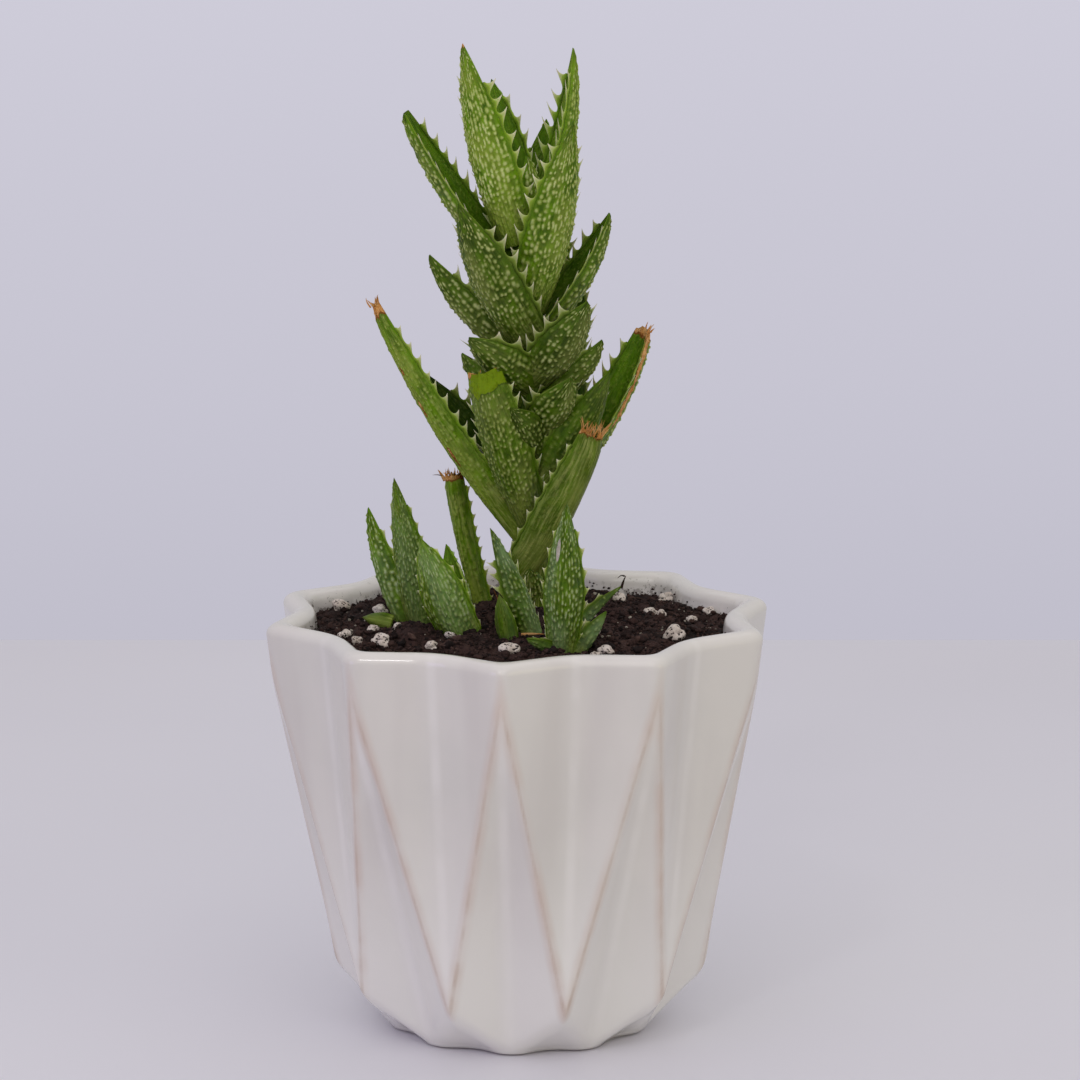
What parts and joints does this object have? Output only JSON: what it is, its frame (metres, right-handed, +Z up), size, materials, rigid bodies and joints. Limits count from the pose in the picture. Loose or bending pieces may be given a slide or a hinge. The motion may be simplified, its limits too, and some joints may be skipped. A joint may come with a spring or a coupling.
{
  "type": "potted haworthia",
  "caption": "Small spotted, toothed succulent with a tall leafy stem and young plants, in dark potting mix with perlite, in a zigzag-walled white glazed pot.",
  "frame": {"origin": "middle of the pot's underside, on the surface the pot stands on", "axes": "+Z up along the pot's axis, -Y the side seen in the picture, +X to the right in the picture"},
  "size_m": [0.1178, 0.1212, 0.2315],
  "materials": {
    "glaze": "gloss",
    "soil": "matte",
    "leaf": "satin",
    "dry_leaf": "satin",
    "perlite": "matte"
  },
  "bodies": {
    "root": {"pot": "glaze", "soil": "soil", "main_shoot": "leaf", "pup_left": "leaf", "pup_left_front": "leaf", "pup_middle": "leaf", "pup_front": "leaf", "leaf_stub": "dry_leaf", "leaf_fragment": "leaf", "perlite_01": "perlite", "perlite_02": "perlite", "perlite_03": "perlite", "perlite_04": "perlite", "perlite_05": "perlite", "perlite_06": "perlite", "perlite_07": "perlite", "perlite_08": "perlite", "perlite_09": "perlite", "perlite_10": "perlite", "perlite_11": "perlite", "perlite_12": "perlite", "perlite_13": "perlite", "perlite_14": "perlite", "perlite_15": "perlite", "perlite_16": "perlite", "perlite_17": "perlite", "perlite_18": "perlite", "perlite_19": "perlite", "perlite_20": "perlite", "perlite_21": "perlite"}
  },
  "joints": []
}
